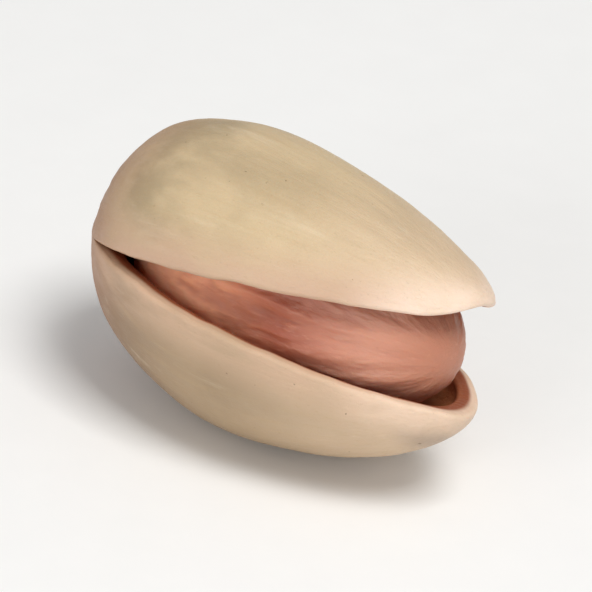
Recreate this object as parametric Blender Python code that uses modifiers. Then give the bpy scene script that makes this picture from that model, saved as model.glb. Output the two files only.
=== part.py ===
"""A naturally split pistachio in its shell, lying on its lower valve.

The shell grew as one piece. Its two valves have parted along the suture, from near the stem end along
the front, round the tip and part of the way back, and still hold together round the stem. The kernel is
one loose seed in its wrinkled skin.

The nut is shaped in its own frame, closed and then opened: x runs from the stem end to the tip, the
mouth looks along -y, and the suture lies in the plane z = 0. An empty then tips it into the pose in
which it lies. On each surface, polar angle t is 0 at the stem and pi at the tip, and roll angle a is 0
at the mouth, pi/2 on the upper valve and pi at the back.
"""

import math

import bmesh
import bpy
from mathutils import Vector, noise

MM = 0.001

# Shell, as it was before it split
LENGTH = 20.0 * MM
WIDTH = 11.9 * MM  # from the mouth to the back
THICKNESS = 12.15 * MM  # across both valves
EGG = 0.18  # how far the widest place lies towards the stem
UPPER_EGG = 0.48  # the same for the thickest place of the upper valve
LOWER_EGG = 0.21  # and of the lower valve
FULLNESS = 0.96  # below 1 both ends are blunter, seen from above the suture
UPPER_FULLNESS = 0.86  # the same for the upper valve's height
LOWER_FULLNESS = 1.03  # and for the lower valve's
TIP_LEAN = 0.25 * MM  # the tip leans this far towards the back
BEAK = 0.26 * MM  # point at the tip
BEAK_SPREAD = 0.3
KEEL = 0.16 * MM  # low ridge along the suture
KEEL_SPREAD = 0.2
COLLAR = 0.33 * MM  # raised ring round the stem scar
COLLAR_SPREAD = 0.32
SCAR_DEPTH = 0.5 * MM
SCAR_SPREAD = 0.19

# Shell wall
WALL = 0.95 * MM
LIP_WALL = 0.72 * MM
LIP_SPREAD = 0.45
STEM_WALL = 1.5 * MM
TIP_WALL = 1.1 * MM
LIP_ROUND = 0.24 * MM

# Split
FRONT_SLIT_START = 1.6 * MM  # from the stem end, along the front suture
BACK_SLIT_START = 4.9 * MM  # from the stem end, along the back suture
TIP_GAPE = 4.05 * MM
HINGE_EASE = 1.35 * MM  # the valves bend open over this distance
UPPER_FLARE = 0.6 * MM  # the upper lip turns out this much more at the tip
LOWER_FLARE = 0.1 * MM
FLARE_SPREAD = 0.3  # along the front lips, as a polar angle
BACK_FLARE_SPREAD = 0.5
LOWER_REACH = 0.3 * MM  # the lower valve's tip lies this much further out

# Kernel
KERNEL_LENGTH = 16.9 * MM
KERNEL_WIDTH = 9.4 * MM
KERNEL_THICKNESS = 9.5 * MM
KERNEL_EGG = 0.16
KERNEL_FULLNESS = 0.9
KERNEL_LEAN = 0.8  # share of the shell's lean
KERNEL_CENTRE = Vector((0.7, -0.05, -0.05)) * MM
KERNEL_TILT = math.radians(1.0)
SEAM_DEPTH = 0.14 * MM  # groove between the two seed leaves
SEAM_SPREAD = 0.12
WRINKLE = 0.2 * MM
WRINKLES_ROUND = 5.0
WRINKLES_ALONG = 1.6

# Pose at rest
REST_ROLL = math.radians(-14.6)  # about x: the mouth looks up a little
REST_PITCH = math.radians(-4.0)  # about y: the tip is raised
FLAT_DEPTH = 0.14 * MM  # how much of the belly the flat spot takes off
FLOOR_BLOCK = 40.0 * MM

# Mesh fineness
SHELL_ROUND = 48
SHELL_ALONG = 30
KERNEL_ROUND = 48
KERNEL_ALONG = 32
SUTURE_CROWDING = 0.5  # how much closer the rows lie near the suture

SHELL_COLOUR = (0.66, 0.52, 0.34, 1.0)
KERNEL_COLOUR = (0.51, 0.18, 0.11, 1.0)


def bump(distance, spread):
    """A smooth hump of height 1 at distance 0."""
    return math.exp(-((distance / spread) ** 2))


def girth(t, egg, fullness):
    """Share of the full width at polar angle t."""
    return max(0.0, math.sin(t + egg * math.sin(t))) ** fullness


def depth(t, a):
    """Share of the full thickness at (t, a): each valve is thickest at a place of its own."""
    if math.sin(a) > 0:
        return girth(t, UPPER_EGG, UPPER_FULLNESS) * math.sin(a)
    return girth(t, LOWER_EGG, LOWER_FULLNESS) * math.sin(a)


def lean(t):
    """How far the middle line lies towards the back at polar angle t."""
    return TIP_LEAN * ((1 - math.cos(t)) / 2) ** 3


def outer_point(t, a):
    """A point on the outside of the closed shell."""
    around = girth(t, EGG, FULLNESS)
    keel = KEEL * bump(math.sin(a), KEEL_SPREAD) * around
    x = -LENGTH / 2 * math.cos(t) + BEAK * bump(math.pi - t, BEAK_SPREAD)
    x += SCAR_DEPTH * bump(t, SCAR_SPREAD) - COLLAR * bump(t, COLLAR_SPREAD)
    y = lean(t) - (WIDTH / 2 * around + keel) * math.cos(a)
    return Vector((x, y, THICKNESS / 2 * depth(t, a)))


def inner_point(t, a):
    """A point on the inside of the closed shell, across the wall from outer_point(t, a)."""
    around = girth(t, EGG, FULLNESS)
    end_wall = STEM_WALL if t < math.pi / 2 else TIP_WALL
    wall = WALL + (LIP_WALL - WALL) * bump(math.sin(a), LIP_SPREAD)
    x = -(LENGTH / 2 - end_wall) * math.cos(t)
    y = lean(t) - (WIDTH / 2 - wall) * around * math.cos(a)
    return Vector((x, y, (THICKNESS / 2 - wall) * depth(t, a)))


def polar_angle(from_stem):
    """Polar angle of the place this far from the stem end."""
    return math.acos(1 - 2 * from_stem / LENGTH)


def past_hinge(t, a):
    """Distance of the place (t, a) from the line that joins the two ends of the slit, towards the tip."""
    front = outer_point(polar_angle(FRONT_SLIT_START), 0)
    back = outer_point(polar_angle(BACK_SLIT_START), math.pi)
    across = (back - front).to_2d().normalized()
    away = Vector((across.y, -across.x))
    return (outer_point(t, a) - front).to_2d().dot(away)


def eased(distance):
    """Zero behind the hinge line, then a parabola that runs out into a straight slope."""
    if distance <= 0:
        return 0.0
    if distance < HINGE_EASE:
        return distance**2 / (2 * HINGE_EASE)
    return distance - HINGE_EASE / 2


def flare(t, a):
    """1 at the tip, falling to 0 along the lips, more slowly along the back ones."""
    spread = FLARE_SPREAD + (BACK_FLARE_SPREAD - FLARE_SPREAD) * (1 - math.cos(a)) / 2
    return bump(math.pi - t, spread)


def opening(t, a, upper):
    """How the place (t, a) of the upper or the lower valve has moved as the shell split."""
    share = eased(past_hinge(t, a)) / eased(past_hinge(math.pi, 0))
    lift = TIP_GAPE / 2 * share
    if upper:
        return Vector((0, 0, lift + UPPER_FLARE * flare(t, a)))
    return Vector((LOWER_REACH * share**3, 0, -lift - LOWER_FLARE * flare(t, a)))


def crowded(a):
    """Roll angle a, moved towards the suture, so that the lips have finer rows."""
    return a - SUTURE_CROWDING * math.sin(2 * a) / 2


def sphere_angles(point):
    """(t, a) of a point of the unit sphere, whose z, x and y axes become the nut's x, y and z."""
    t = math.acos(max(-1.0, min(1.0, -point.z)))
    return t, crowded(math.atan2(point.y, -point.x))


def on_slit(edge):
    """Whether this edge of the unit sphere lies where the two valves have parted."""
    if any(abs(vert.co.y) > 1e-5 for vert in edge.verts):
        return False
    middle = sum((vert.co for vert in edge.verts), Vector()) / 2
    start = FRONT_SLIT_START if middle.x < 0 else BACK_SLIT_START
    return sphere_angles(middle.normalized())[0] > polar_angle(start)


def opened_skin(bm, place):
    """Adds one skin of the shell to bm: a sphere slit along the suture, shaped by place(t, a) and opened."""
    made = bmesh.ops.create_uvsphere(bm, u_segments=SHELL_ROUND, v_segments=SHELL_ALONG, radius=1)
    edges = {edge for vert in made["verts"] for edge in vert.link_edges}
    bmesh.ops.split_edges(bm, edges=[edge for edge in edges if on_slit(edge)])
    skin = [vert for vert in bm.verts if not vert.tag]
    moved = {}
    for vert in skin:
        t, a = sphere_angles(vert.co)
        valve = sum(face.calc_center_median().y for face in vert.link_faces)
        moved[vert] = place(t, a) + opening(t, a, valve > 0)
    for vert, point in moved.items():
        vert.co = point
        vert.tag = True
    return skin


def shell_mesh():
    """Outer and inner skins, joined round the slit by the flat rim of the lips."""
    bm = bmesh.new()
    opened_skin(bm, outer_point)
    inside = opened_skin(bm, inner_point)
    faces = {face for vert in inside for face in vert.link_faces}
    bmesh.ops.reverse_faces(bm, faces=list(faces))
    rim = [edge for edge in bm.edges if edge.is_boundary]
    bmesh.ops.bridge_loops(bm, edges=rim)
    bm.normal_update()
    bmesh.ops.recalc_face_normals(bm, faces=bm.faces)
    return finished(bm, "shell")


def kernel_point(t, a):
    """A point on the kernel: an egg with a groove along its edge and long wrinkles in its skin."""
    around = girth(t, KERNEL_EGG, KERNEL_FULLNESS)
    groove = SEAM_DEPTH * bump(math.sin(a), SEAM_SPREAD)
    where = Vector((math.cos(a) * WRINKLES_ROUND, math.sin(a) * WRINKLES_ROUND, t * WRINKLES_ALONG))
    hollow = (groove + WRINKLE * noise.noise(where)) * around
    x = -KERNEL_LENGTH / 2 * math.cos(t)
    y = KERNEL_LEAN * lean(t) - (KERNEL_WIDTH / 2 * around - hollow) * math.cos(a)
    return Vector((x, y, (KERNEL_THICKNESS / 2 * around - hollow) * math.sin(a)))


def kernel_mesh():
    bm = bmesh.new()
    made = bmesh.ops.create_uvsphere(bm, u_segments=KERNEL_ROUND, v_segments=KERNEL_ALONG, radius=1)
    for vert in made["verts"]:
        vert.co = kernel_point(*sphere_angles(vert.co))
    return finished(bm, "kernel")


def finished(bm, name):
    mesh = bpy.data.meshes.new(name)
    bm.to_mesh(mesh)
    bm.free()
    mesh.shade_smooth()
    return mesh


def material(name, colour, roughness):
    made = bpy.data.materials.new(name)
    made.use_nodes = True
    surface = made.node_tree.nodes["Principled BSDF"]
    surface.inputs["Base Color"].default_value = colour
    surface.inputs["Roughness"].default_value = roughness
    surface.inputs["Metallic"].default_value = 0.0
    return made


def add_object(name, data, collection, parent=None):
    obj = bpy.data.objects.new(name, data)
    obj.parent = parent
    collection.objects.link(obj)
    return obj


def make_shell(collection, nut):
    shell = add_object("shell", shell_mesh(), collection, nut)
    shell.data.materials.append(material("shell", SHELL_COLOUR, 0.55))
    lips = shell.modifiers.new("rounded_lips", "BEVEL")
    lips.width = LIP_ROUND
    lips.segments = 2
    lips.limit_method = "ANGLE"
    lips.angle_limit = math.radians(50)
    return shell


def make_kernel(collection, nut):
    kernel = add_object("kernel", kernel_mesh(), collection, nut)
    kernel.data.materials.append(material("kernel", KERNEL_COLOUR, 0.5))
    kernel.location = KERNEL_CENTRE
    kernel.rotation_euler.y = KERNEL_TILT
    return kernel


def set_down(nut, shell):
    """Tips the nut into its pose and stands its bounding box's bottom centre on the origin, the belly
    sunk by the depth of the flat spot."""
    nut.rotation_euler = (REST_ROLL, REST_PITCH, 0)
    bpy.context.view_layer.update()
    points = [shell.matrix_world @ vert.co for vert in shell.data.vertices]
    low = Vector(min(point[i] for point in points) for i in range(3))
    high = Vector(max(point[i] for point in points) for i in range(3))
    nut.location = (-(low.x + high.x) / 2, -(low.y + high.y) / 2, -low.z - FLAT_DEPTH)


def trim_belly(shell, cutters):
    """Cuts the small flat spot that the nut lies on."""
    bpy.ops.mesh.primitive_cube_add(size=FLOOR_BLOCK, location=(0, 0, -FLOOR_BLOCK / 2))
    floor = bpy.context.object
    floor.name = "floor_cutter"
    for collection in floor.users_collection:
        collection.objects.unlink(floor)
    cutters.objects.link(floor)
    floor.hide_render = True
    floor.display_type = "WIRE"
    cut = shell.modifiers.new("flat_spot", "BOOLEAN")
    cut.operation = "DIFFERENCE"
    cut.object = floor


def main():
    for obj in list(bpy.data.objects):
        bpy.data.objects.remove(obj)
    scene = bpy.context.scene
    parts = bpy.data.collections.new("pistachio")
    cutters = bpy.data.collections.new("cutters")
    scene.collection.children.link(parts)
    scene.collection.children.link(cutters)
    nut = add_object("nut", None, parts)
    shell = make_shell(parts, nut)
    make_kernel(parts, nut)
    set_down(nut, shell)
    trim_belly(shell, cutters)


main()
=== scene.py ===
"""The looks of a naturally split pistachio: its shell and its kernel, fine enough to be seen close.

Both pieces are worked out in the nut's own frame, closed and then opened: x runs from the stem end to the
tip, the mouth looks along -y, and the suture lies in the plane z = 0. On each surface, polar angle t is 0
at the stem and pi at the tip, and roll angle a is 0 at the mouth and pi at the back. The pose then tips
them to where the solids lie.
"""

import math

import bmesh
import bpy
import numpy as np
from mathutils import Euler, Matrix, Quaternion, Vector, noise


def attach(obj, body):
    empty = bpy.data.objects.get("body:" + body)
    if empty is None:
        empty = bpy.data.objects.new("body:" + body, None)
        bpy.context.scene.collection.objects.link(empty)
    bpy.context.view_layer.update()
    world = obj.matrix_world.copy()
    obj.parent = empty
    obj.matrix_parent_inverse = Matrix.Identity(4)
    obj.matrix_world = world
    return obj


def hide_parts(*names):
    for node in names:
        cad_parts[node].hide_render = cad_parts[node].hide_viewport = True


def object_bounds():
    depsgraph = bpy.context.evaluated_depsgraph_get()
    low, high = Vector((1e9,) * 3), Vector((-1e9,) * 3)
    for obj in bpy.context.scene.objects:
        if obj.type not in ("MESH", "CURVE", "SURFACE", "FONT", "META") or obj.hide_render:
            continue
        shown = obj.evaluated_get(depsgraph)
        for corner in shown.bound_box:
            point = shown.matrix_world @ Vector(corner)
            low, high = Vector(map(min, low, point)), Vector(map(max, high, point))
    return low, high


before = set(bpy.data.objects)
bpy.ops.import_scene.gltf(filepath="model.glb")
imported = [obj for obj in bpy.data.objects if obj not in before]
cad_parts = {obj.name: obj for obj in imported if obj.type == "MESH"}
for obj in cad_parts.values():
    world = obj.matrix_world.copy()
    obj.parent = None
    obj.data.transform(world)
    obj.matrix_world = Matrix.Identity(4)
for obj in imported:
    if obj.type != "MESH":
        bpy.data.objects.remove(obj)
CAD_LOW, CAD_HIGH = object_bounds()

MM = 0.001

# Shell and kernel, in the same values as the solids
LENGTH = 20.0 * MM
WIDTH = 11.9 * MM
THICKNESS = 12.15 * MM
EGG = 0.18
UPPER_EGG = 0.48
LOWER_EGG = 0.21
FULLNESS = 0.96
UPPER_FULLNESS = 0.86
LOWER_FULLNESS = 1.03
TIP_LEAN = 0.25 * MM
BEAK = 0.26 * MM
BEAK_SPREAD = 0.3
KEEL = 0.16 * MM
KEEL_SPREAD = 0.2
COLLAR = 0.33 * MM
COLLAR_SPREAD = 0.32
SCAR_DEPTH = 0.5 * MM
SCAR_SPREAD = 0.19
WALL = 0.95 * MM
LIP_WALL = 0.72 * MM
LIP_SPREAD = 0.45
STEM_WALL = 1.5 * MM
TIP_WALL = 1.1 * MM
FRONT_SLIT_START = 1.6 * MM
BACK_SLIT_START = 4.9 * MM
TIP_GAPE = 4.05 * MM
HINGE_EASE = 1.35 * MM
UPPER_FLARE = 0.6 * MM
LOWER_FLARE = 0.1 * MM
FLARE_SPREAD = 0.3
BACK_FLARE_SPREAD = 0.5
LOWER_REACH = 0.3 * MM
KERNEL_LENGTH = 16.9 * MM
KERNEL_WIDTH = 9.4 * MM
KERNEL_THICKNESS = 9.5 * MM
KERNEL_EGG = 0.16
KERNEL_FULLNESS = 0.9
KERNEL_LEAN = 0.8
KERNEL_CENTRE = Vector((0.7, -0.05, -0.05)) * MM
KERNEL_TILT = math.radians(1.0)
SEAM_DEPTH = 0.14 * MM
SEAM_SPREAD = 0.12
WRINKLE = 0.2 * MM
WRINKLES_ROUND = 5.0
WRINKLES_ALONG = 1.6
REST_ROLL = math.radians(-14.6)
REST_PITCH = math.radians(-4.0)
FLAT_DEPTH = 0.14 * MM

# Fine shapes that only the looks have; waves are counted per millimetre along x, y and z
OUTER_LIP_ROUND = 0.26 * MM
INNER_LIP_ROUND = 0.2 * MM
LIP_CROWN = 0.05 * MM
LIP_RAMP = 1.6 * MM  # the lips' round edges grow to full size over this distance past the slit's start
LIP_WAVE = 0.09 * MM
LIP_WAVE_REACH = 1.2 * MM
LIP_WAVES = (0.55, 1, 1)
UNEVENNESS = 0.16 * MM
UNEVEN_WAVES = (0.13, 0.22, 0.22)
STRANDS = 0.03 * MM
STRAND_WAVES = (0.12, 1.5, 1.5)
GRAIN = 0.008 * MM
GRAIN_WAVES = (2.4, 4.5, 4.5)
INWARD = 0.07 * MM  # the relief lies this far inside the plain surface, to stay inside the solids
FURROWS = 17  # furrows round the stem scar
FURROW_DEPTH = 0.045 * MM
FURROW_PLACE = 0.3  # polar angle
FURROW_SPREAD = 0.12
FURROW_BEND = 3.0  # radians by which the furrows' waves wander
FURROW_BEND_WAVES = 0.9
SCAR_RING = 0.27  # polar angle of the darker ring round the pale scar
FOLD_DEPTH = 0.13 * MM
FOLD_WAVES = (1.9, 1.9, 1.6)  # to each of the broad wrinkles, as are the puckers' waves
PUCKER = 0.05 * MM
PUCKER_WAVES = (6.0, 6.0, 9.0)
SKIN_LENGTH = 24.0 * MM  # spread of the places that marks along the nut are drawn in
SKIN_RADIUS = 6.0 * MM
SKIN_CORE = 0.35  # share of that radius that is kept until close to the two ends
SKIN_END = 0.3  # sine of the polar angle below which it shrinks to a point
BLEND = 1.0 * MM  # the valves' tones run into each other this far above and below the suture
SEED_SHIFT = 19.7  # each seed's noise is read this many waves away from the last one's
NOISE_SHIFT = 5.3  # keeps the places off the noise's own zero

# Mesh fineness
ROWS = (24, 24, 132)  # before the front slit, up to the back slit, and on to the tip
OUTER_COLUMNS = 176
INNER_COLUMNS = 70
COLUMN_CROWDING = 0.86
LIP_COLUMNS = 5
KERNEL_ROWS = 190
KERNEL_COLUMNS = 250
WELD = 1e-8  # points within this distance are one
AT_END = 1e-9  # polar angles this close to an end count as the end
POSE_SAMPLES = 200

# Camera
VIEW_AZIMUTH = math.radians(37.8)
VIEW_ELEVATION = math.radians(29.3)
VIEW_ROLL = math.radians(6.2)
VIEW_DISTANCE = 0.5
VIEW_WIDTH = 25.9 * MM  # width of the picture at the nut
SENSOR = 36.0
CLIP_START = 0.01

# Light and floor, in degrees, metres and watts
KEY_LIGHT = {"azimuth": 80, "elevation": 66, "distance": 0.45, "size": 0.2, "power": 1.29}
KEY_COLOUR = (1.0, 0.99, 0.975)
FILL_LIGHT = {"azimuth": 2, "elevation": 14, "distance": 0.5, "size": 0.3, "power": 0.9}
FILL_COLOUR = (0.98, 0.99, 1.0)
WORLD_STRENGTH = 0.37
FLOOR_REACH = 3.0  # from the middle to each edge


def bump(distance, spread):
    """A smooth hump of height 1 at distance 0."""
    return np.exp(-((distance / spread) ** 2))


def smooth_step(value):
    """0 below 0 and 1 above 1, with a smooth rise between."""
    value = np.clip(value, 0, 1)
    return value * value * (3 - 2 * value)


def polar_angle(from_stem):
    """Polar angle of the place this far from the stem end."""
    return math.acos(1 - 2 * from_stem / LENGTH)


FRONT_START = polar_angle(FRONT_SLIT_START)
BACK_START = polar_angle(BACK_SLIT_START)


def girth(t, egg, fullness):
    """Share of the full width at polar angle t."""
    return np.clip(np.sin(t + egg * np.sin(t)), 0, None) ** fullness


def depth(t, a):
    """Share of the full thickness at (t, a): each valve is thickest at a place of its own."""
    upper = girth(t, UPPER_EGG, UPPER_FULLNESS)
    lower = girth(t, LOWER_EGG, LOWER_FULLNESS)
    return np.where(np.sin(a) > 0, upper, lower) * np.sin(a)


def lean(t):
    """How far the middle line lies towards the back at polar angle t."""
    return TIP_LEAN * ((1 - np.cos(t)) / 2) ** 3


def outer_surface(t, a):
    """Points on the outside of the closed shell."""
    around = girth(t, EGG, FULLNESS)
    keel = KEEL * bump(np.sin(a), KEEL_SPREAD) * around
    x = -LENGTH / 2 * np.cos(t) + BEAK * bump(np.pi - t, BEAK_SPREAD)
    x += SCAR_DEPTH * bump(t, SCAR_SPREAD) - COLLAR * bump(t, COLLAR_SPREAD)
    y = lean(t) - (WIDTH / 2 * around + keel) * np.cos(a)
    return np.stack((x, y, THICKNESS / 2 * depth(t, a)), axis=-1)


def inner_surface(t, a):
    """Points on the inside of the closed shell."""
    around = girth(t, EGG, FULLNESS)
    end_wall = np.where(t < np.pi / 2, STEM_WALL, TIP_WALL)
    wall = WALL + (LIP_WALL - WALL) * bump(np.sin(a), LIP_SPREAD)
    x = -(LENGTH / 2 - end_wall) * np.cos(t)
    y = lean(t) - (WIDTH / 2 - wall) * around * np.cos(a)
    return np.stack((x, y, (THICKNESS / 2 - wall) * depth(t, a)), axis=-1)


def outward(surface, t, a, step=0.004):
    """Unit normals of a surface, along x at its two ends."""
    inside = np.clip(t, 2 * step, np.pi - 2 * step)
    along = surface(inside + step, a) - surface(inside - step, a)
    across = surface(inside, a + step) - surface(inside, a - step)
    normal = np.cross(across, along)
    normal /= np.linalg.norm(normal, axis=-1, keepdims=True)
    normal *= np.sign(np.sum(normal * surface(inside, a), axis=-1, keepdims=True))
    normal[t < AT_END] = (-1, 0, 0)
    normal[t > np.pi - AT_END] = (1, 0, 0)
    return normal


def skin_places(t, a):
    """Places in which marks that run from the stem to the tip are straight lines along x."""
    core = SKIN_CORE * smooth_step(np.sin(t) / SKIN_END)
    radius = SKIN_RADIUS * (core + (1 - SKIN_CORE) * np.sin(t))
    return np.stack((SKIN_LENGTH * t / np.pi, radius * np.cos(a), radius * np.sin(a)), axis=-1)


def noise_at(points, scale, octaves, seed):
    """Fractal noise at the points, each axis scaled by a count of waves per millimetre."""
    places = points.reshape(-1, 3) / MM * np.asarray(scale) + SEED_SHIFT * seed + NOISE_SHIFT
    values = [noise.fractal(place, 1.0, 2.0, octaves) for place in places.tolist()]
    return np.array(values).reshape(points.shape[:-1])


def past_hinge(t, a):
    """Distance of the places (t, a) from the line that joins the two ends of the slit, towards the tip."""
    front = outer_surface(np.array(FRONT_START), 0.0)[:2]
    back = outer_surface(np.array(BACK_START), np.pi)[:2]
    across = (back - front) / np.linalg.norm(back - front)
    return (outer_surface(t, a)[..., :2] - front) @ np.array((across[1], -across[0]))


def eased(distance):
    """Zero behind the hinge line, then a parabola that runs out into a straight slope."""
    bent = np.clip(distance, 0, HINGE_EASE)
    return bent**2 / (2 * HINGE_EASE) + np.clip(distance - HINGE_EASE, 0, None)


def flare(t, a):
    """1 at the tip, falling to 0 along the lips, more slowly along the back ones."""
    spread = FLARE_SPREAD + (BACK_FLARE_SPREAD - FLARE_SPREAD) * (1 - np.cos(a)) / 2
    return bump(np.pi - t, spread)


def opening(side, t, a):
    """How the places of the upper (side 1) or the lower (side -1) valve have moved as the shell split."""
    share = eased(past_hinge(t, a)) / eased(past_hinge(np.array(np.pi), 0.0))
    lift = TIP_GAPE / 2 * share + (UPPER_FLARE if side > 0 else LOWER_FLARE) * flare(t, a)
    reach = 0 * lift if side > 0 else LOWER_REACH * share**3
    return np.stack((reach, 0 * lift, side * lift), axis=-1)


def lip_ramp(t, a):
    """0 where the valves are still joined, rising to 1 past the start of the slit on that side."""
    start = np.where(np.cos(a) > 0, FRONT_START, BACK_START)
    past = LENGTH / 2 * (np.cos(start) - np.cos(t))
    return smooth_step(past / LIP_RAMP)


def rounded(height, radius):
    """How far a surface steps back at this height above a round edge of this radius."""
    missing = np.clip(radius - height, 0, None)
    return radius - np.sqrt(np.clip(radius**2 - missing**2, 0, None))


def scar_furrows(points, t, a):
    """Short furrows that run outwards from the stem scar."""
    bend = FURROW_BEND * noise_at(points, FURROW_BEND_WAVES, 2, seed=3)
    waves = np.cos(FURROWS * a + bend)
    return FURROW_DEPTH * waves * bump(t - FURROW_PLACE, FURROW_SPREAD)


def outer_relief(points, t, a):
    """Height of the outside's relief above the plain surface."""
    broad = UNEVENNESS * noise_at(points, UNEVEN_WAVES, 2, seed=1)
    strands = STRANDS * noise_at(skin_places(t, a), STRAND_WAVES, 3, seed=2)
    grain = GRAIN * noise_at(points, GRAIN_WAVES, 2, seed=4)
    return (broad + strands) * np.sin(t) + grain + scar_furrows(points, t, a) - INWARD


def lip_wave(points, height, ramp, seed):
    """Slight waves of a lip's edge, fading away from it."""
    waves = noise_at(points * [1, 0, 0], LIP_WAVES, 2, seed=seed)
    return LIP_WAVE * waves * ramp * np.exp(-height / LIP_WAVE_REACH)


def valve_skin(side, inside):
    """The outer or inner skin of the upper (side 1) or lower (side -1) valve, opened."""
    surface = inner_surface if inside else outer_surface
    columns = column_angles(INNER_COLUMNS if inside else OUTER_COLUMNS)
    t, a = np.meshgrid(row_angles(), side * columns, indexing="ij")
    points = surface(t, a)
    height = np.abs(points[..., 2])
    ramp = lip_ramp(t, a)
    if inside:
        step = rounded(height, INNER_LIP_ROUND * ramp)
    else:
        step = outer_relief(points, t, a) - rounded(height, OUTER_LIP_ROUND * ramp)
    opened = points + outward(surface, t, a) * step[..., None] + opening(side, t, a)
    opened[..., 2] += side * lip_wave(points, height, ramp, seed=7 + side)
    opened[0], opened[-1] = opened[0, 0], opened[-1, 0]
    return {
        "points": opened,
        "height": height,
        "inside": np.full(t.shape, float(inside)),
        "polar": t,
        "ramp": ramp,
        "skin": skin_places(t, a),
    }


def lip_strip(side, outer, inner, column, first):
    """The rounded rim between the edges of a valve's two skins, on one side of the nut."""
    share = np.linspace(0, 1, LIP_COLUMNS)[None, :]
    start = outer["points"][first:, column, None]
    end = inner["points"][first:, column, None]
    points = start + (end - start) * share[..., None]
    crown = LIP_CROWN * (1 - (2 * share - 1) ** 2) * outer["ramp"][first:, column, None]
    points[..., 2] -= side * crown
    height = np.zeros(points.shape[:2])
    polar = outer["polar"][first:, column, None] + height
    skin = outer["skin"][first:, column, None] + height[..., None]
    return {"points": points, "height": height, "inside": height + share, "polar": polar, "skin": skin}


def column_angles(count):
    """Roll angles across one valve, crowded towards both lips."""
    share = np.linspace(0, 1, count)
    return np.pi * (share - COLUMN_CROWDING * np.sin(2 * np.pi * share) / (2 * np.pi))


def row_angles():
    """Polar angles from stem to tip, with a row at the start of each slit."""
    stretches = ((0, FRONT_START), (FRONT_START, BACK_START), (BACK_START, np.pi))
    rows = [np.linspace(*ends, count + 1)[:-1] for ends, count in zip(stretches, ROWS)]
    return np.append(np.concatenate(rows), np.pi)


def shell_patches():
    """Grids of points that cover the whole shell."""
    patches = []
    for side in (1, -1):
        outer, inner = valve_skin(side, False), valve_skin(side, True)
        patches += [outer, inner]
        patches.append(lip_strip(side, outer, inner, 0, ROWS[0]))
        patches.append(lip_strip(side, outer, inner, -1, ROWS[0] + ROWS[1]))
    return patches


def grid_quads(rows, columns, first):
    """Corner numbers of a grid's faces."""
    corner = first + np.arange(rows * columns).reshape(rows, columns)
    quads = (corner[:-1, :-1], corner[:-1, 1:], corner[1:, 1:], corner[1:, :-1])
    return np.stack(quads, axis=-1).reshape(-1, 4)


def welded_mesh(name, patches, attributes):
    """One closed mesh from grids that meet at their edges, with a value per point for each attribute."""
    points = np.concatenate([patch["points"].reshape(-1, 3) for patch in patches])
    quads = []
    first = 0
    for patch in patches:
        rows, columns = patch["points"].shape[:2]
        quads.append(grid_quads(rows, columns, first))
        first += rows * columns
    keys = np.round(points / WELD).astype(np.int64)
    _, kept, number = np.unique(keys, axis=0, return_index=True, return_inverse=True)
    corners = number.reshape(-1)[np.concatenate(quads)]
    faces = [list(dict.fromkeys(face)) for face in corners.tolist()]
    mesh = bpy.data.meshes.new(name)
    mesh.from_pydata(points[kept].tolist(), [], [face for face in faces if len(face) > 2])
    for attribute in attributes:
        values = np.concatenate([patch[attribute].reshape(-1) for patch in patches])[kept]
        mesh.attributes.new(attribute, "FLOAT", "POINT").data.foreach_set("value", values)
    skin = np.concatenate([patch["skin"].reshape(-1, 3) for patch in patches])[kept]
    mesh.attributes.new("skin", "FLOAT_VECTOR", "POINT").data.foreach_set("vector", skin.reshape(-1))
    face_outwards(mesh)
    mesh.shade_smooth()
    return mesh


def face_outwards(mesh):
    """Turns all faces of a closed mesh to look out of it."""
    bm = bmesh.new()
    bm.from_mesh(mesh)
    bm.normal_update()
    bmesh.ops.recalc_face_normals(bm, faces=bm.faces)
    bm.to_mesh(mesh)
    bm.free()


def kernel_patch():
    """The kernel: an egg with a groove along its edge, long folds and fine puckers in its skin."""
    rows = np.linspace(0, np.pi, KERNEL_ROWS)
    columns = np.linspace(-np.pi, np.pi, KERNEL_COLUMNS)
    t, a = np.meshgrid(rows, columns, indexing="ij")
    around = girth(t, KERNEL_EGG, KERNEL_FULLNESS)
    groove = SEAM_DEPTH * bump(np.sin(a), SEAM_SPREAD)
    where = np.stack((np.cos(a) * WRINKLES_ROUND, np.sin(a) * WRINKLES_ROUND, t * WRINKLES_ALONG), axis=-1)
    broad = np.array([noise.noise(place) for place in where.reshape(-1, 3).tolist()]).reshape(t.shape)
    folds = np.abs(noise_at(where * MM, FOLD_WAVES, 3, seed=11))
    puckers = noise_at(where * MM, PUCKER_WAVES, 3, seed=12)
    sunk = (groove + WRINKLE * broad + FOLD_DEPTH * (0.5 - folds) + PUCKER * puckers) * around
    x = -KERNEL_LENGTH / 2 * np.cos(t)
    y = KERNEL_LEAN * lean(t) - (KERNEL_WIDTH / 2 * around - sunk) * np.cos(a)
    z = (KERNEL_THICKNESS / 2 * around - sunk) * np.sin(a)
    points = np.stack((x, y, z), axis=-1)
    points[:, -1] = points[:, 0]
    points[0], points[-1] = points[0, 0], points[-1, 0]
    along = (1 - np.cos(t)) / 2
    return {"points": points, "along": along, "hollow": sunk / WRINKLE, "skin": skin_places(t, a)}


def pose_matrix():
    """The nut's pose: tipped, its box's bottom centre on the origin and its belly sunk by the flat spot."""
    turn = Euler((REST_ROLL, REST_PITCH, 0)).to_matrix()
    angles = np.linspace(0, np.pi, POSE_SAMPLES)
    t, a = np.meshgrid(angles, angles, indexing="ij")
    halves = []
    for side in (1, -1):
        half = outer_surface(t, side * a) + opening(side, t, side * a)
        halves.append(half.reshape(-1, 3))
    placed = np.concatenate(halves) @ np.array(turn).T
    low, high = placed.min(0), placed.max(0)
    place = Vector((-(low[0] + high[0]) / 2, -(low[1] + high[1]) / 2, -low[2] - FLAT_DEPTH))
    return Matrix.Translation(place) @ turn.to_4x4()


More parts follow.
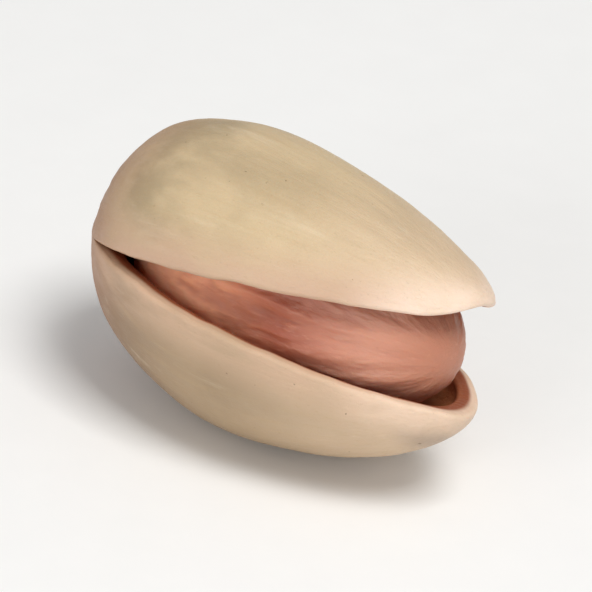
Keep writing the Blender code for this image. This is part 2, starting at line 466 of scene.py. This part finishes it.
def keep_in_box(mesh):
    """Presses the belly flat on the floor, like the solids' flat spot, and keeps all inside their box."""
    points = np.empty(len(mesh.vertices) * 3, np.float32)
    mesh.vertices.foreach_get("co", points)
    inside = np.clip(points.reshape(-1, 3), np.array(CAD_LOW), np.array(CAD_HIGH))
    mesh.vertices.foreach_set("co", inside.astype(np.float32).reshape(-1))
    mesh.update()


def srgb(red, green, blue):
    """Linear colour from 0 to 255 display values."""
    shares = [value / 255 for value in (red, green, blue)]
    return tuple(v / 12.92 if v <= 0.04045 else ((v + 0.055) / 1.055) ** 2.4 for v in shares) + (1.0,)


# Shell colours
BEIGE = srgb(214, 190, 152)
DEEP_BEIGE = srgb(205, 181, 144)
OLIVE = srgb(168, 148, 116)
# browner tone of the lower valve, partly its own colour and partly painted shade
LOWER_BROWN_AND_SHADE = srgb(136, 108, 86)
TIP_CREAM = srgb(226, 198, 168)
STRAND_BROWN = srgb(188, 160, 120)
STREAK_CREAM = srgb(236, 218, 188)
# grey-brown of the patches under the lower valve's tip
UNDER_TIP_GREY = srgb(146, 128, 114)
LIP_PINK = srgb(204, 168, 143)
LIP_CREAM = srgb(250, 224, 205)
LOWER_LIP = srgb(226, 192, 160)
STEM_BROWN = srgb(160, 112, 82)
RING_BROWN = srgb(150, 114, 88)
SCAR_CREAM = srgb(216, 190, 156)
SPECK_BROWN = srgb(112, 88, 62)
PORE_BROWN = srgb(168, 138, 102)
LINING_CREAM = srgb(222, 158, 110)
LINING_ORANGE = srgb(198, 124, 76)
# the deep, edge and rim browns below are painted shade: in the hollow and in the gap along the lips
LINING_DEEP_SHADE = srgb(150, 62, 38)
LINING_EDGE_SHADE = srgb(146, 78, 46)
RIM_SHADE = srgb(150, 82, 50)

# Kernel colours
TERRACOTTA = srgb(168, 89, 64)
PALE_TERRACOTTA = srgb(183, 106, 78)
# very light salmon for the kernel's stem side: painted light
SALMON_PAINTED_LIGHT = srgb(250, 172, 134)
PINK = srgb(220, 163, 138)
TIP_TAN = srgb(186, 124, 98)
MAUVE = srgb(194, 130, 118)
PALE_FLECK = srgb(226, 168, 140)
DARK_FLECK = srgb(150, 80, 58)
# brown of the painted shade in the kernel's folds
FOLD_SHADE = srgb(150, 78, 58)

# Floor colours
PAPER_WHITE = srgb(250, 250, 249)
PAPER_GREY = srgb(246, 246, 245)


class Shader:
    """A new material, and short ways to add its nodes."""

    def __init__(self, name):
        self.material = bpy.data.materials.new(name)
        self.material.use_nodes = True
        self.tree = self.material.node_tree
        self.surface = self.tree.nodes["Principled BSDF"]
        self.place = self.node("ShaderNodeTexCoord").outputs["Object"]
        self.skin = self.node("ShaderNodeAttribute", attribute_name="skin").outputs["Vector"]

    def node(self, kind, **settings):
        """A new node with these settings."""
        made = self.tree.nodes.new(kind)
        for name, value in settings.items():
            setattr(made, name, value)
        return made

    def put(self, socket, value):
        """Links an output to a socket, or sets the socket's value."""
        if isinstance(value, bpy.types.NodeSocket):
            self.tree.links.new(value, socket)
        else:
            socket.default_value = value

    def attribute(self, name):
        """A value that the mesh holds for each point."""
        return self.node("ShaderNodeAttribute", attribute_name=name).outputs["Fac"]

    def stretched(self, place, squeeze):
        """Places with their x squeezed by this factor."""
        made = self.node("ShaderNodeMapping")
        self.put(made.inputs["Vector"], place)
        made.inputs["Scale"].default_value = (squeeze, 1, 1)
        return made.outputs["Vector"]

    def noise(self, size, squeeze=1.0, detail=4.0, roughness=0.55, distortion=0.0, place=None):
        """Noise from 0 to 1 in waves of this many millimetres, longer along x with a squeeze under 1."""
        made = self.node("ShaderNodeTexNoise")
        self.put(made.inputs["Vector"], self.stretched(place or self.place, squeeze))
        made.inputs["Scale"].default_value = 1 / (size * MM)
        made.inputs["Detail"].default_value = detail
        made.inputs["Roughness"].default_value = roughness
        made.inputs["Distortion"].default_value = distortion
        return made.outputs["Fac"]

    def span(self, value, low, high, to_low=0.0, to_high=1.0):
        """Value from low to high, turned smoothly into to_low to to_high."""
        made = self.node("ShaderNodeMapRange", interpolation_type="SMOOTHSTEP")
        self.put(made.inputs["Value"], value)
        ends = {"From Min": low, "From Max": high, "To Min": to_low, "To Max": to_high}
        for name, number in ends.items():
            made.inputs[name].default_value = number
        return made.outputs["Result"]

    def maths(self, operation, first, second=0.0):
        """The result of a sum, a product or the like."""
        made = self.node("ShaderNodeMath", operation=operation)
        self.put(made.inputs[0], first)
        self.put(made.inputs[1], second)
        return made.outputs["Value"]

    def mix(self, share, first, second):
        """The first colour where the share is 0, running into the second where it is 1."""
        made = self.node("ShaderNodeMix", data_type="RGBA")
        self.put(made.inputs["Factor"], share)
        self.put(made.inputs[6], first)
        self.put(made.inputs[7], second)
        return made.outputs[2]

    def relief(self, height, distance, strength, under=None):
        """Normals bent by fine relief of this height, on top of those of an earlier relief."""
        made = self.node("ShaderNodeBump")
        made.inputs["Strength"].default_value = strength
        made.inputs["Distance"].default_value = distance
        self.put(made.inputs["Height"], height)
        if under is not None:
            self.put(made.inputs["Normal"], under)
        return made.outputs["Normal"]

    def glow(self, weight, radius, scale):
        """Sets a dry surface that lets some light in below its skin."""
        self.surface.inputs["Metallic"].default_value = 0.0
        self.surface.inputs["IOR"].default_value = 1.45
        self.surface.inputs["Subsurface Weight"].default_value = weight
        self.surface.inputs["Subsurface Radius"].default_value = radius
        self.surface.inputs["Subsurface Scale"].default_value = scale


def outside_colour(s, strands, pale):
    """Beige with olive clouds by the stem, a lower valve browner towards the stem (partly its own tone,
    partly painted shade), a paler tip and long streaks.
    """
    along = s.attribute("along")
    lower = s.attribute("lower")
    colour = s.mix(s.span(s.noise(5.0, 0.6, detail=3), 0.35, 0.65), BEIGE, DEEP_BEIGE)
    clouds = s.span(s.noise(5.5, 0.7, detail=5, distortion=0.4), 0.47, 0.66)
    near_stem = s.span(along, 0.12, 0.62, 0.85, 0.35)
    colour = s.mix(s.maths("MULTIPLY", clouds, near_stem), colour, OLIVE)
    # the lower valve darker towards the stem: partly its own browner tone, partly painted shade
    below = s.maths("MULTIPLY", lower, s.span(along, 0.05, 0.6, 0.95, 0.52))
    colour = s.mix(below, colour, LOWER_BROWN_AND_SHADE)
    colour = s.mix(s.span(along, 0.5, 1.0, 0.0, 0.7), colour, TIP_CREAM)
    colour = s.mix(s.span(strands, 0.48, 0.78, 0.0, 0.3), colour, STRAND_BROWN)
    colour = s.mix(s.span(pale, 0.55, 0.8, 0.0, 0.35), colour, STREAK_CREAM)
    # patchy grey-brown on the lower valve under the tip, away from the lip
    under_tip = s.maths("MULTIPLY", lower, s.span(along, 0.9, 0.98))
    off_lip = s.span(s.attribute("height"), 0.6 * MM, 1.8 * MM)
    patchy = s.span(s.noise(2.0, roughness=0.6), 0.3, 0.6, 0.35, 0.7)
    grey_patch = s.maths("MULTIPLY", s.maths("MULTIPLY", under_tip, off_lip), patchy)
    return s.mix(grey_patch, colour, UNDER_TIP_GREY)


def with_lips(s, colour):
    """A ragged pinkish band along the lips, palest at the tip."""
    band = s.span(s.attribute("height"), 0.0, 2.6 * MM, 0.85, 0.0)
    ragged = s.span(s.noise(1.6, 0.4), 0.3, 0.6, 0.55, 1.0)
    tone = s.mix(s.span(s.attribute("along"), 0.76, 0.95), LIP_PINK, LIP_CREAM)
    tone = s.mix(s.maths("MULTIPLY", s.attribute("lower"), 0.5), tone, LOWER_LIP)
    return s.mix(s.maths("MULTIPLY", band, ragged), colour, tone)


def with_stem_scar(s, colour, pale):
    """A brown stem end, with an uneven darker ring round the pale scar."""
    colour = s.mix(s.span(s.attribute("along"), 0.0, 0.28, 0.85, 0.0), colour, STEM_BROWN)
    uneven = s.span(s.noise(1.1, roughness=0.6), 0.2, 0.8, -0.11, 0.11)
    from_ring = s.maths("SUBTRACT", s.maths("ADD", s.attribute("polar"), uneven), SCAR_RING)
    ring = s.span(s.maths("ABSOLUTE", from_ring), 0.0, 0.11, 0.32, 0.0)
    colour = s.mix(ring, colour, RING_BROWN)
    scar = s.span(from_ring, -0.15, 0.02, 0.7, 0.0)
    return s.mix(s.maths("MULTIPLY", scar, s.span(pale, 0.3, 0.6, 0.5, 1.0)), colour, SCAR_CREAM)


def with_specks(s, colour):
    """Few dark specks and many faint pores."""
    specks = s.span(s.noise(0.35, detail=2, roughness=0.5), 0.745, 0.79)
    colour = s.mix(s.maths("MULTIPLY", specks, 0.75), colour, SPECK_BROWN)
    pores = s.span(s.noise(0.11, 0.5, detail=3, roughness=0.6), 0.6, 0.75)
    return s.mix(s.maths("MULTIPLY", pores, 0.22), colour, PORE_BROWN)


def with_inside(s, colour):
    """A brown rim between the two skins and a dark lining at the lips, painted shade of the gap along the
    lips, and a lining painted deeper red-brown away from the lips as shade in the hollow.
    """
    height = s.attribute("height")
    lining = s.mix(s.span(s.noise(1.6, 0.4), 0.3, 0.7), LINING_CREAM, LINING_ORANGE)
    # painted shade: the lining darker and redder deep inside the hollow
    lining = s.mix(s.span(height, 0.4 * MM, 3.0 * MM, 0.0, 0.8), lining, LINING_DEEP_SHADE)
    # painted shade: a dark brown line of lining along the lips' edges
    lining = s.mix(s.span(height, 0.1 * MM, 0.9 * MM, 0.9, 0.0), lining, LINING_EDGE_SHADE)
    inside = s.attribute("inside")
    # painted shade: the rim between the skins brown, for the dark gap along the lips
    colour = s.mix(s.span(inside, 0.05, 0.5), colour, RIM_SHADE)
    return s.mix(s.span(inside, 0.8, 1.0), colour, lining)


def shell_material():
    """Dry woody shell with its clouds, streaks, lips, scar, specks and lining."""
    s = Shader("shell_surface")
    strands = s.noise(0.42, 0.07, detail=6, roughness=0.64, place=s.skin)
    pale = s.noise(0.8, 0.12, detail=5, roughness=0.6, distortion=0.3, place=s.skin)
    colour = outside_colour(s, strands, pale)
    colour = with_lips(s, colour)
    colour = with_stem_scar(s, colour, pale)
    colour = with_specks(s, colour)
    colour = with_inside(s, colour)
    s.put(s.surface.inputs["Base Color"], colour)
    s.put(s.surface.inputs["Roughness"], s.span(s.noise(0.9, 0.5), 0.2, 0.8, 0.42, 0.6))
    s.glow(weight=0.12, radius=(1.0, 0.6, 0.35), scale=0.6 * MM)
    coarse = s.relief(strands, 0.06 * MM, 0.7)
    waves = s.relief(s.noise(1.3, 0.22, roughness=0.6, place=s.skin), 0.1 * MM, 0.5, coarse)
    fine = s.relief(s.noise(0.12, 0.6, detail=5, roughness=0.65), 0.03 * MM, 0.8, waves)
    s.put(s.surface.inputs["Normal"], fine)
    return s.material


def kernel_colour(s, streaks):
    """A salmon stem side lightened as painted light against the upper lip's shade, terracotta in the middle
    and pink by the tip, with flecks and painted shade in the folds.
    """
    along = s.attribute("along")
    colour = s.mix(s.span(streaks, 0.35, 0.68), TERRACOTTA, PALE_TERRACOTTA)
    # painted light: the kernel's stem side lightened to salmon against the shade under the upper lip
    colour = s.mix(s.span(along, 0.36, 0.64, 0.95, 0.0), colour, SALMON_PAINTED_LIGHT)
    colour = s.mix(s.span(along, 0.6, 0.9, 0.0, 0.72), colour, PINK)
    colour = s.mix(s.span(along, 0.86, 0.99, 0.0, 0.75), colour, TIP_TAN)
    mauve = s.noise(2.2, 0.4, roughness=0.6, distortion=0.6)
    colour = s.mix(s.span(mauve, 0.5, 0.72, 0.0, 0.4), colour, MAUVE)
    pale = s.noise(0.6, 0.3, detail=5, roughness=0.65, place=s.skin)
    colour = s.mix(s.span(pale, 0.56, 0.78, 0.0, 0.38), colour, PALE_FLECK)
    dark = s.noise(0.8, 0.22, detail=5, roughness=0.6, distortion=0.5, place=s.skin)
    colour = s.mix(s.span(dark, 0.6, 0.82, 0.0, 0.32), colour, DARK_FLECK)
    # painted shade: the kernel browner where its skin is sunk in folds and the groove
    fold_shade = s.span(s.attribute("hollow"), 0.45, 1.25, 0.0, 0.4)
    return s.mix(fold_shade, colour, FOLD_SHADE)


def kernel_material():
    """Thin wrinkled seed skin that lets a little light through."""
    s = Shader("kernel_surface")
    streaks = s.noise(1.2, 0.14, detail=5, roughness=0.6, distortion=0.4, place=s.skin)
    s.put(s.surface.inputs["Base Color"], kernel_colour(s, streaks))
    s.put(s.surface.inputs["Roughness"], s.span(streaks, 0.2, 0.8, 0.36, 0.54))
    s.glow(weight=0.5, radius=(1.0, 0.42, 0.22), scale=1.3 * MM)
    coarse = s.relief(streaks, 0.1 * MM, 0.8)
    fine = s.relief(s.noise(0.16, 0.5, detail=5, roughness=0.65), 0.04 * MM, 0.8, coarse)
    s.put(s.surface.inputs["Normal"], fine)
    return s.material


def floor_material():
    """White studio paper with a faint tooth."""
    s = Shader("floor_paper")
    tone = s.noise(3.0)
    s.put(s.surface.inputs["Base Color"], s.mix(tone, PAPER_WHITE, PAPER_GREY))
    s.surface.inputs["Roughness"].default_value = 0.9
    s.put(s.surface.inputs["Normal"], s.relief(tone, 0.02 * MM, 0.2))
    return s.material


def add_object(name, data):
    obj = bpy.data.objects.new(name, data)
    bpy.context.scene.collection.objects.link(obj)
    return obj


def make_shell(pose):
    patches = shell_patches()
    for patch in patches:
        patch["along"] = (patch["points"][..., 0] + LENGTH / 2) / LENGTH
        patch["lower"] = smooth_step(0.5 - patch["points"][..., 2] / (2 * BLEND))
    mesh = welded_mesh("nut_shell", patches, ("height", "inside", "along", "lower", "polar"))
    mesh.transform(pose)
    keep_in_box(mesh)
    mesh.materials.append(shell_material())
    shell = add_object("nut_shell", mesh)
    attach(shell, "root")
    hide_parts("shell")


def make_kernel(pose):
    mesh = welded_mesh("nut_kernel", [kernel_patch()], ("along", "hollow"))
    mesh.transform(pose @ Matrix.Translation(KERNEL_CENTRE) @ Matrix.Rotation(KERNEL_TILT, 4, "Y"))
    mesh.materials.append(kernel_material())
    kernel = add_object("nut_kernel", mesh)
    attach(kernel, "root")
    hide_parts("kernel")


def make_floor():
    mesh = bpy.data.meshes.new("floor")
    bm = bmesh.new()
    bmesh.ops.create_grid(bm, x_segments=1, y_segments=1, size=FLOOR_REACH)
    bm.to_mesh(mesh)
    bm.free()
    mesh.materials.append(floor_material())
    add_object("floor", mesh)


def direction(azimuth, elevation):
    """Unit vector away from the nut: azimuth 0 looks at the mouth's side, and 90 degrees at the tip."""
    flat = math.cos(elevation)
    return Vector((math.sin(azimuth) * flat, -math.cos(azimuth) * flat, math.sin(elevation)))


def make_camera():
    data = bpy.data.cameras.new("camera")
    data.sensor_width = SENSOR
    data.lens = SENSOR * VIEW_DISTANCE / VIEW_WIDTH
    data.clip_start = CLIP_START
    camera = add_object("camera", data)
    target = (CAD_LOW + CAD_HIGH) / 2
    back = direction(VIEW_AZIMUTH, VIEW_ELEVATION)
    turn = (-back).to_track_quat("-Z", "Y") @ Quaternion((0, 0, 1), VIEW_ROLL)
    camera.rotation_mode = "QUATERNION"
    camera.location = target + back * VIEW_DISTANCE
    camera.rotation_quaternion = turn
    bpy.context.scene.camera = camera


def area_light(name, colour, azimuth, elevation, distance, size, power):
    """A square soft light that looks at the nut from this direction."""
    data = bpy.data.lights.new(name, "AREA")
    data.size = size
    data.energy = power
    data.color = colour
    back = direction(math.radians(azimuth), math.radians(elevation))
    light = add_object(name, data)
    light.location = back * distance
    light.rotation_mode = "QUATERNION"
    light.rotation_quaternion = (-back).to_track_quat("-Z", "Y")


def make_light():
    world = bpy.data.worlds.new("studio")
    world.use_nodes = True
    background = world.node_tree.nodes["Background"]
    background.inputs["Color"].default_value = (1, 1, 1, 1)
    background.inputs["Strength"].default_value = WORLD_STRENGTH
    bpy.context.scene.world = world
    area_light("key", KEY_COLOUR, **KEY_LIGHT)
    area_light("fill", FILL_COLOUR, **FILL_LIGHT)


def main():
    bpy.context.scene.view_settings.view_transform = "Standard"
    pose = pose_matrix()
    make_camera()
    make_light()
    make_floor()
    make_shell(pose)
    make_kernel(pose)


main()
bpy.context.view_layer.update()
